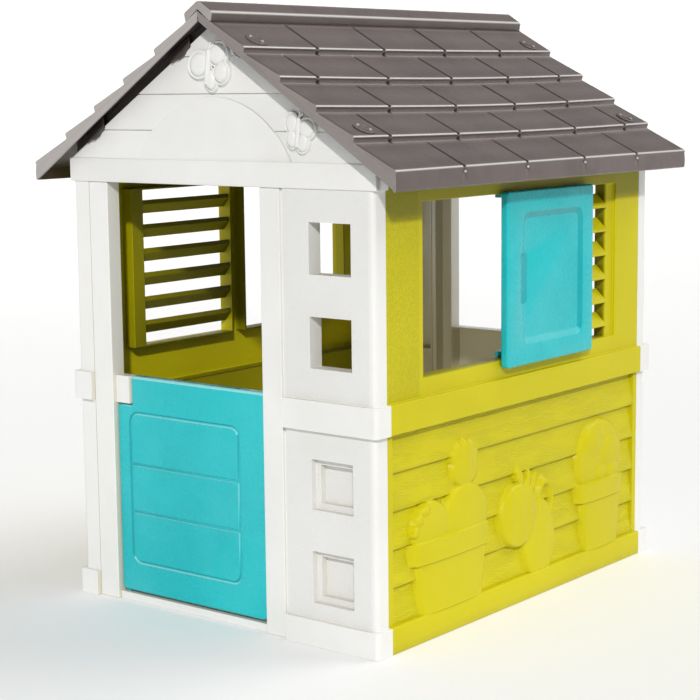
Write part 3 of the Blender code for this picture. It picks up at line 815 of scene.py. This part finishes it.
def make_ridge():
    reach = RIDGE_HIGH.y
    stations = [(reach, 0.0022), (reach - 0.0006, 0.001), (reach - 0.0022, 0.0), (reach - 0.0036, 0.0)]
    stations += [(CAP_STEP * step, 0.0) for step in range(10, 0, -1)]
    sections = [cap_section(-y, shrink) for y, shrink in stations]
    sections.append(cap_section(0.0, 0.0))
    sections += [cap_section(y, shrink) for y, shrink in reversed(stations)]
    around = CAP_LIGHT_AND_SHADE + CAP_LIGHT_AND_SHADE[-2:0:-1]
    tones = []
    for section in sections:
        at_end = abs(section[0].y) > reach - 0.003
        tones += [CAP_END_PAINTED_LIGHT] * len(around) if at_end else around
    mesh = gathered("ridge_bar", [loft("ridge_bar", sections)], tones)
    piece("ridge_cap_bar", mesh, TAUPE, "ridge_cap", sharp=35)


KNOB_RADIUS = 0.0225
DISH_RADIUS = 0.015
KNOB_TURN = math.radians(35)
KNOB_SINK = 0.002
# Painted highlight on the fasteners' studs.
STUD_HIGHLIGHT = 0.55


def make_knobs():
    """Quarter-turn fasteners: a low dished disc with a grip bar and two studs."""
    disc = prism("disc", arc((0.0, 0.0), KNOB_RADIUS, 0, 352.5, 47), "z", GAP, 0.0024)
    ring = prism("ring", arc((0.0, 0.0), DISH_RADIUS, 0, 352.5, 47), "z", 0.0012, 0.006)
    bar = prism("bar", rounded((-0.012, 0.012), (-0.0036, 0.0036), 0.003, 6), "z", 0.001, 0.0034)
    rim = worked("knob", worked("knob", disc, cut=[ring]), joined=[bar], round_off=0.0006, segments=2)
    shells = [rim]
    tones = [0.0] * len(rim.vertices)
    for place in (-0.013, 0.0125):
        stud = prism("stud", rounded((place - 0.003, place + 0.003), (-0.006, 0.006), 0.0028, 6), "z",
                     0.001, 0.0044)
        stud = worked("stud", stud, round_off=0.001, segments=2)
        shells.append(stud)
        tones += [STUD_HIGHLIGHT] * len(stud.vertices)
    knob = gathered("knob", shells, tones)
    for side, sign in (("left", -1), ("right", 1)):
        for number in range(1, 5):
            node = f"roof_knob_{side}_{number}"
            low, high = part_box(node)
            centre = (low + high) / 2
            fall = Matrix.Rotation(sign * fall_at(abs(centre.x)), 4, "Y")
            turn = fall @ Matrix.Rotation(KNOB_TURN, 4, "Z")
            sunk = turn @ Vector((0.0, 0.0, -KNOB_SINK))
            mesh = knob.copy()
            mesh.transform(Matrix.Translation(centre + sunk) @ turn)
            piece(node + "_cap", mesh, TAUPE, node, sharp=35)


def fall_at(x):
    """Slope angle of the tile row that a fastener lies on."""
    row = 0 if x < ROW_X[0] else 3
    start = SLOPE_START
    if row > 0:
        start = (ROW_X[2] - 0.0015, ROW_TOP_Z - ROW_SLOPE * ROW_X[2] - ROW_STEP)
    end = (ROW_X[row], ROW_TOP_Z - ROW_SLOPE * ROW_X[row])
    return math.atan((start[1] - end[1]) / (end[0] - start[0]))


# ---- gables ----
BOARD_FACE = FRONT - 0.0006
BOARD_LINES = (BEAM_TOP + 0.0001, 1.017, 1.0903, 1.1645, GABLE_HIGH.z + 0.01)
BOARD_LEAN = 0.002  # how far a board's upper edge lies behind its lower one
BOARD_GROOVE = 0.0034
ARCH_CENTRE_Z = 0.8506
ARCH_RADIUS = 0.2335
ARCH_SET_BACK = 0.0026  # how far the arched panel lies behind the beam at its middle
ARCH_SLANT = 0.0036  # how much further back it lies at its right end
BEAM_BACK = FRONT + 0.014


def gable_edge(x):
    return GABLE_HIGH.z - GABLE_SLOPE * abs(x)


def make_gables():
    half, low, top = GABLE_HIGH.x, GABLE_LOW.z, GABLE_HIGH.z
    section = [(FRONT_INNER, low), (FRONT, low), (FRONT, BEAM_TOP)]
    for start, end in zip(BOARD_LINES, BOARD_LINES[1:]):
        section += [(BOARD_FACE, start), (BOARD_FACE + BOARD_LEAN, end - 0.003),
                    (BOARD_FACE + BOARD_LEAN + BOARD_GROOVE, end - 0.0006)]
    section.append((FRONT_INNER, BOARD_LINES[-1]))
    boards = prism("boards", section, "x", -half, half)
    wide = half + 0.02
    above = [(-wide, gable_edge(wide)), (0.0, top), (wide, gable_edge(wide)), (wide, top + 0.1),
             (-wide, top + 0.1)]
    roof_cut = prism("above", above, "y", FRONT - 0.05, FRONT_INNER + 0.05)
    arch = arc((0.0, ARCH_CENTRE_Z), ARCH_RADIUS, 0, 180, 64)
    arch_hole = prism("arch_hole", arch, "y", FRONT - 0.02, FRONT + 0.012)
    base = worked("gable_boards", boards, cut=[roof_cut, arch_hole], round_off=0.0009, segments=2)
    panel_outline = [(x, z) for x, z in arc((0.0, ARCH_CENTRE_Z), ARCH_RADIUS + 0.002, 0, 180, 64)
                     if z > BEAM_TOP - 0.012]
    panel = prism("arch_panel", panel_outline, "y", FRONT, FRONT + 0.013)
    for vert in panel.vertices:
        if vert.co.y < FRONT + 0.001:
            vert.co.y += ARCH_SET_BACK + ARCH_SLANT * vert.co.x / ARCH_RADIUS
    beam_outline = [(GABLE_LOW.y, low), (BEAM_BACK, low), (BEAM_BACK, BEAM_TOP), (GABLE_LOW.y, BEAM_TOP)]
    beam = worked("beam", prism("beam", beam_outline, "x", -half, half), round_off=0.0022, segments=3)
    mesh = gathered("gable", [base, panel, beam])
    pair(("front_gable", "back_gable"), "boards", mesh, WHITE, 30)


# Centre x and z, half sizes and lean in degrees of each wing.
UPPER_WINGS = ((-0.0235, 1.148, 0.0265, 0.0235, 20.0), (0.026, 1.1672, 0.0225, 0.0205, 25.0),
               (0.035, 1.131, 0.018, 0.0205, -12.0), (0.006, 1.1165, 0.014, 0.02, 14.0))
LOWER_WINGS = ((0.215, 1.0315, 0.015, 0.019, 12.0), (0.251, 1.0215, 0.0185, 0.018, 10.0),
               (0.2145, 1.003, 0.0125, 0.017, 6.0), (0.2405, 0.995, 0.014, 0.0175, -10.0))
# Share of the wing's half sizes and height above the boards, from its foot to its middle.
WING_RINGS = ((1.27, 0.0), (1.26, 0.0038), (1.21, 0.0052), (1.15, 0.0044), (1.07, 0.003), (1.0, 0.0034),
              (0.96, 0.006), (0.88, 0.008), (0.74, 0.0092), (0.55, 0.0099), (0.3, 0.0102))


WING_POINTS = 40
BODY_RADIUS = 0.0056
FEELER_RADIUS = 0.0018
FEELER_SWEEPS = (0.004, 0.011)


def wing_shell(centre, half_u, half_v, turn, size):
    """A pillow-shaped wing inside a raised rim."""
    work = bmesh.new()
    spin = Matrix.Rotation(math.radians(turn), 2)
    rings = []
    for share, height in WING_RINGS:
        ring = []
        for step in range(WING_POINTS):
            angle = math.tau * step / WING_POINTS
            flat = spin @ Vector((math.cos(angle) * half_u, math.sin(angle) * half_v)) * share
            ring.append(work.verts.new((centre[0] + flat.x, FRONT - GAP - height * size - 0.001,
                                        centre[1] + flat.y)))
        rings.append(ring)
    for outer, inner in zip(rings, rings[1:]):
        bridge(work, outer, inner)
    work.faces.new(rings[0])
    work.faces.new(rings[-1])
    for vert in rings[0]:
        vert.co.y = FRONT + 0.002
    return mesh_from(work, "wing")


def make_butterflies():
    shapes = (("upper", UPPER_WINGS, (-0.003, 1.109), (0.005, 1.176), 1.2),
              ("lower", LOWER_WINGS, (0.2275, 0.987), (0.233, 1.042), 1.0))
    for label, wings, tail, head, size in shapes:
        shells = [wing_shell((x, z), half_u, half_v, lean, size) for x, z, half_u, half_v, lean in wings]
        body = [(tail[0] + (head[0] - tail[0]) * share, FRONT - 0.0066 * size,
                 tail[1] + (head[1] - tail[1]) * share) for share in (step / 8 for step in range(9))]
        shells.append(tube("butterfly_body", body, BODY_RADIUS * size, False))
        for sweep in FEELER_SWEEPS:
            feeler = [(head[0] + sweep * share * size, FRONT - 0.007 * size,
                       head[1] + (0.014 * share - sweep * share ** 2 * 0.5) * size)
                      for share in (step / 7 for step in range(8))]
            shells.append(tube("feeler", feeler, FEELER_RADIUS * size, False))
        nodes = [f"{side}_butterfly_{label}" for side in ("front", "back")]
        pair(nodes, "relief", gathered(f"butterfly_{label}", shells), WHITE)


# ---- side walls ----
PLANKS = 5
PLANK_HEIGHT = (SEAM - FOOT_TOP) / PLANKS
PLANK_TILT = 0.01
PLANK_END = 0.465
ROWS_IN_PLANK = 26
WALL_COLUMNS = 310
BESIDE = 0.004  # width of the smooth border round a raised figure


def dome(y, z, centre_y, centre_z, half_y, half_z, height, turn=0.0, ribs=0):
    """A pillow-shaped relief on an ellipse: steep at its edge, soft on top, with upright ribs."""
    across = y - centre_y
    up = z - centre_z
    cosine, sine = math.cos(turn), math.sin(turn)
    u = (across * cosine + up * sine) / half_y
    v = (up * cosine - across * sine) / half_z
    reach = u * u + v * v
    if reach >= 1.0:
        return 0.0
    pillow = 0.45 * min(1.0, (1.0 - reach) * 7.0) + 0.55 * math.sqrt(1.0 - reach)
    return height * (pillow - (0.04 - 0.04 * math.cos(math.pi * ribs * u) if ribs else 0.0))


def pot(y, z, centre, low, high, half_low, half_high, height):
    """A flower pot's half-round body between two heights."""
    if not low <= z <= high:
        return 0.0
    half = half_low + (half_high - half_low) * (z - low) / (high - low)
    u = abs(y - centre) / half
    if u >= 1.0:
        return 0.0
    return height * (0.5 * min(1.0, (1.0 - u) * 12.0) + 0.5 * math.sqrt(1.0 - u * u))


def petals(y, z):
    """A round bud with leaf-shaped petals."""
    high = 0.0
    for turn, length, height in ((0.0, 0.046, 0.013), (0.42, 0.044, 0.011), (-0.42, 0.044, 0.011),
                                 (0.85, 0.038, 0.009), (-0.85, 0.038, 0.009)):
        centre_y = -0.222 - math.sin(turn) * 0.022
        centre_z = 0.334 + math.cos(turn) * 0.01
        high = max(high, dome(y, z, centre_y, centre_z, 0.02, length, height, turn))
    return max(high, dome(y, z, -0.222, 0.326, 0.048, 0.036, 0.012))


def handle(y, z):
    """The can's handle, an upright oval ring."""
    reach = math.hypot((y - 0.08) / 0.034, (z - 0.204) / 0.052)
    return 0.011 * max(0.0, 1.0 - (abs(reach - 0.8) / 0.22) ** 2)


# Centre y and z, half sizes and height of each mound and leaf; some are turned or ribbed.
DOMES = ((-0.343, 0.224, 0.064, 0.06, 0.014), (-0.222, 0.228, 0.08, 0.072, 0.016),
         (-0.385, 0.252, 0.012, 0.014, 0.017), (-0.364, 0.268, 0.013, 0.013, 0.017),
         (-0.399, 0.229, 0.012, 0.014, 0.016), (-0.024, 0.19, 0.074, 0.072, 0.018, 0.0, 4),
         (0.058, 0.12, 0.062, 0.095, 0.015, 0.0, 4), (0.008, 0.25, 0.011, 0.036, 0.011, -0.3),
         (0.028, 0.244, 0.009, 0.036, 0.01, -0.45), (-0.02, 0.272, 0.013, 0.026, 0.011, 0.35),
         (0.313, 0.256, 0.099, 0.092, 0.012), (0.35, 0.268, 0.05, 0.042, 0.016),
         (0.283, 0.296, 0.044, 0.036, 0.015), (0.312, 0.224, 0.026, 0.022, 0.016),
         (0.358, 0.222, 0.03, 0.024, 0.017))
# Centre y, lowest and highest z, half width at each and height of the pots, their rims and a stem.
POTS = ((-0.276, 0.157, 0.206, 0.132, 0.139, 0.02), (-0.271, 0.04, 0.16, 0.108, 0.124, 0.016),
        (-0.226, 0.275, 0.3, 0.007, 0.007, 0.008), (0.31, 0.168, 0.212, 0.094, 0.099, 0.02),
        (0.315, 0.04, 0.17, 0.07, 0.088, 0.016))


def relief(y, z):
    """Raised garden figures on the lower side wall."""
    heights = [petals(y, z), handle(y, z)]
    heights += [dome(y, z, *shape) for shape in DOMES]
    heights += [pot(y, z, *shape) for shape in POTS]
    return max(heights)


def near_relief(y, z):
    """Whether a place on the wall is on a raised figure or right beside one."""
    return any(relief(y + across, z + up) > 0.0 for across in (-BESIDE, BESIDE) for up in (-BESIDE, BESIDE))


def plank_rows():
    """Heights of the grid rows, each with the plank it belongs to; None is the foot band."""
    rows = [(z, None) for z in (0.0, 0.003, 0.027, FOOT_TOP - 0.003, FOOT_TOP - 0.0012, FOOT_TOP)]
    for plank in range(PLANKS):
        foot = FOOT_TOP + plank * PLANK_HEIGHT
        rows += [(foot + PLANK_HEIGHT * step / ROWS_IN_PLANK, plank) for step in range(ROWS_IN_PLANK + 1)]
    return rows


def plank_columns():
    """Places of the grid columns along the wall, each with whether it is on the planks."""
    columns = [(-SIDE_END, False), (-SIDE_END + 0.008, False), (-PLANK_END - 0.0001, False)]
    columns += [(-PLANK_END + 2 * PLANK_END * step / WALL_COLUMNS, True)
                for step in range(WALL_COLUMNS + 1)]
    columns += [(PLANK_END + 0.0001, False), (SIDE_END - 0.008, False), (SIDE_END, False)]
    return columns


def wall_face(y, z, plank, on_planks):
    """X of the wall's outer face."""
    if plank is None:
        face = BAND_FACE
        if z < 0.002 or z > FOOT_TOP - 0.0006:
            face -= 0.0022
        elif z > FOOT_TOP - 0.002:
            face -= 0.0006
        return face
    if not on_planks:
        return HALF_WIDTH
    share = (z - FOOT_TOP - plank * PLANK_HEIGHT) / PLANK_HEIGHT
    drop = 0.0016 * max(0.0, 1.0 - share * 16.0)
    lean = HALF_WIDTH - PLANK_TILT * share - drop
    raised = relief(y, z)
    return max(lean, HALF_WIDTH - 0.004 + raised) if raised > 0.0 else lean


def make_side_lower():
    work = bmesh.new()
    columns = plank_columns()
    grid = []
    for z, plank in plank_rows():
        grid.append([work.verts.new((wall_face(y, z, plank, on_planks), y, z)) for y, on_planks in columns])
    for low, high in zip(grid, grid[1:]):
        for index in range(len(columns) - 1):
            work.faces.new((low[index], low[index + 1], high[index + 1], high[index]))
    rim = grid[0] + [row[-1] for row in grid[1:]] + grid[-1][-2::-1] + [row[0] for row in grid[-2:0:-1]]
    back = [work.verts.new((SIDE_INNER, vert.co.y, vert.co.z)) for vert in rim]
    bridge(work, rim, back)
    work.faces.new(back)
    bmesh.ops.remove_doubles(work, verts=work.verts, dist=WELD_DISTANCE)
    bare = []
    for vert in work.verts:
        on_planks = abs(vert.co.y) < PLANK_END and HALF_WIDTH - 0.02 < vert.co.x < HALF_WIDTH + 0.0002
        bare.append(1.0 if on_planks and not near_relief(vert.co.y, vert.co.z) else 0.0)
    mesh = mesh_from(work, "side_boards")
    set_tones(mesh, bare)
    pair(("right_lower", "left_lower"), "boards", mesh, LIME_WOOD, 38)


# ---- door ----
HINGE_INSET = 0.0125  # from the door's edge to the line it turns on
DOOR_ROUND = 0.0062
# Width of the painted highlight along the door's top and right edge.
HIGHLIGHT_RIM = 0.0058  # width of the light rim along the door's top and right edge
FRAME_X = (-0.2645, 0.0455)
FRAME_Z = (0.087, 0.4145)
FRAME_CORNER = 0.022
CROSS_Z = (0.302, 0.198)
GROOVE_OFF = 0.0014  # how far the middle of the grooves' round section is off the face


def door_outline(notch_x, notch_z):
    """The door's outline, with a notch for the hinge block at its upper left corner."""
    low, high = DOOR_LOW, DOOR_HIGH
    outline = arc((high.x - 0.018, low.z + 0.018), 0.018, -90, 0, 8)
    outline += arc((high.x - 0.016, high.z - 0.016), 0.016, 0, 90, 8)
    outline += arc((notch_x + 0.008, high.z - 0.008), 0.008, 90, 180, 6)
    outline += [(notch_x, notch_z + 0.004)] + arc((notch_x - 0.004, notch_z + 0.004), 0.004, 0, -90, 4)[1:]
    outline += arc((low.x + 0.008, notch_z - 0.008), 0.008, 90, 180, 6)
    return outline + arc((low.x + 0.01, low.z + 0.01), 0.01, 180, 270, 6)


def door_painted_light(place, normal):
    """Painted highlight on the rims and the grooves' lower sides, painted shade on the grooves' upper and
    left sides.
    """
    face = DOOR_LOW.y
    if face + 0.0003 < place.y < face + 0.005 and abs(place.x + 0.11) < 0.17 and 0.075 < place.z < 0.43:
        if normal.z > 0.3:
            return 0.65
        return -0.6 if normal.z < -0.3 or normal.x > 0.3 else 0.0
    if 0.0001 < place.y - face < 0.0045:
        if place.z > DOOR_HIGH.z - HIGHLIGHT_RIM:
            return 0.8
        if place.x > DOOR_HIGH.x - HIGHLIGHT_RIM:
            return 0.3
    return 0.0


def make_door():
    notch_x = DOOR_LOW.x + HINGE_INSET + 0.03
    notch_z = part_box("door_hinge_block")[0].z - 0.003
    slab = prism("door_slab", door_outline(notch_x, notch_z), "y", DOOR_LOW.y, DOOR_HIGH.y)
    slab = worked("door_slab", slab, round_off=DOOR_ROUND, segments=5, clamp=False)
    grooves = []
    for level in (DOOR_LOW.y - GROOVE_OFF, DOOR_HIGH.y + GROOVE_OFF):
        frame_path = [(x, level, z) for x, z in rounded(FRAME_X, FRAME_Z, FRAME_CORNER)]
        grooves.append(tube("frame_groove", frame_path, 0.0048, True))
        for z in CROSS_Z:
            cross_path = [(FRAME_X[0] + 0.002, level, z), (FRAME_X[1] - 0.002, level, z)]
            grooves.append(tube("cross_groove", cross_path, 0.005, False))
    mesh = worked("door_leaf", slab, cut=grooves)
    # Painted highlight and painted shade on the rims and grooves.
    set_tones(mesh, [door_painted_light(vert.co, vert.normal) for vert in mesh.vertices])
    piece("door_leaf", mesh, TEAL, "door_panel", "door", sharp=50)


# ---- shutter ----
FIELD_Y = (-0.038, 0.2)
FIELD_Z = (0.56, 0.839)
FIELD_CORNER = 0.024
# Depth below the shutter's face and inset from the field's outline, from the outside in.
FIELD_STEPS = ((-0.004, -0.0048), (0.0, 0.0), (0.001, 0.0012), (0.0052, 0.0125), (0.0058, 0.0145),
               (0.00585, 0.0165))
GRIP_Y = (-0.047, -0.016)
GRIP_Z = (0.648, 0.753)
GRIP_DEPTH = 0.0066


def shutter_painted_light(place, face):
    """Painted shade under the field's upper and far edges and in the grip, painted highlight on its lower
    edge.
    """
    depth = face - place.x
    if 0.0061 < depth < 0.0075 and -0.05 < place.y < -0.014:
        return -0.4
    if not (0.0006 < depth < 0.0055 and -0.045 < place.y < 0.205 and 0.555 < place.z < 0.845):
        return 0.0
    gaps = {-0.42: FIELD_Y[1] - place.y, -0.45: FIELD_Z[1] - place.z, 0.18: place.z - FIELD_Z[0],
            0.0: place.y - FIELD_Y[0]}
    return min(gaps, key=gaps.get)


def make_shutter():
    y = (SHUTTER_LOW.y, SHUTTER_HIGH.y)
    z = (SHUTTER_LOW.z, SHUTTER_HIGH.z)
    face = SHUTTER_HIGH.x
    slab = worked("shutter_slab", prism("shutter_slab", rounded(y, z, 0.008), "x", SHUTTER_LOW.x, face),
                  round_off=0.004, segments=4)
    sections = []
    for depth, inset in FIELD_STEPS:
        outline = rounded((FIELD_Y[0] + inset, FIELD_Y[1] - inset), (FIELD_Z[0] + inset, FIELD_Z[1] - inset),
                          FIELD_CORNER - inset)
        sections.append([Vector((face - depth, along, up)) for along, up in outline])
    grip = worked("grip", prism("grip", rounded(GRIP_Y, GRIP_Z, 0.0036), "x", face - GRIP_DEPTH, face + 0.01))
    mesh = worked("shutter_leaf", slab, cut=[loft("field", sections), grip], round_off=0.0008, segments=2,
                  angle=28.0)
    # Painted shade and painted highlight on the field's edges and in the grip.
    set_tones(mesh, [shutter_painted_light(vert.co, face) for vert in mesh.vertices])
    piece("shutter_leaf", mesh, TEAL, "right_shutter", "shutter", sharp=35)


make_roof()
make_ridge()
make_knobs()
make_gables()
make_butterflies()
make_side_lower()
make_door()
make_shutter()


# ---- carried-over mouldings ----
def smoothing_group():
    """Modifier nodes that weld a mesh and shade it smooth."""
    group = bpy.data.node_groups.new("weld_and_smooth", "GeometryNodeTree")
    group.interface.new_socket("Geometry", in_out="INPUT", socket_type="NodeSocketGeometry")
    group.interface.new_socket("Geometry", in_out="OUTPUT", socket_type="NodeSocketGeometry")
    start = group.nodes.new("NodeGroupInput")
    weld = group.nodes.new("GeometryNodeMergeByDistance")
    weld.inputs["Distance"].default_value = WELD_DISTANCE
    smooth = group.nodes.new("GeometryNodeSetShadeSmooth")
    end = group.nodes.new("NodeGroupOutput")
    group.links.new(start.outputs[0], weld.inputs["Geometry"])
    group.links.new(weld.outputs["Geometry"], smooth.inputs["Geometry"])
    group.links.new(smooth.outputs["Geometry"], end.inputs[0])
    return group


WELD_AND_SMOOTH = smoothing_group()


def dress(node, look, width, segments=3):
    """Give a CAD moulding its plastic and rounded edges."""
    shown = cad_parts[node]
    shown.modifiers.new("weld", "NODES").node_group = WELD_AND_SMOOTH
    edges = shown.modifiers.new("edges", "BEVEL")
    edges.width = width
    edges.segments = segments
    edges.limit_method = "ANGLE"
    edges.angle_limit = math.radians(SOFT_EDGE_ANGLE)
    shown.modifiers.new("shading", "WEIGHTED_NORMAL")
    for slot in shown.material_slots:
        slot.material = look


def dress_all():
    for side in ("front", "back"):
        for label in ("wing_lower", "wing_upper"):
            dress(f"{side}_{label}", WHITE_STIPPLE, 0.0022)
        for label in ("corner_lower", "corner_upper", "jamb_left", "jamb_right"):
            dress(f"{side}_{label}", WHITE, 0.0022)
    dress("back_panel", WHITE, 0.003)
    dress("door_sill", WHITE, 0.003)
    dress("door_hinge_block", WHITE, 0.004, 4)
    for side in ("left", "right"):
        dress(f"{side}_upper", LIME_STIPPLE, 0.002)
        for number in range(1, 7):
            dress(f"{side}_slat_{number}", LIME, 0.0012)
    for label in ("door_pin_lower", "door_pin_upper", "shutter_hook_lower", "shutter_hook_upper"):
        dress(label, TEAL, 0.001)


dress_all()
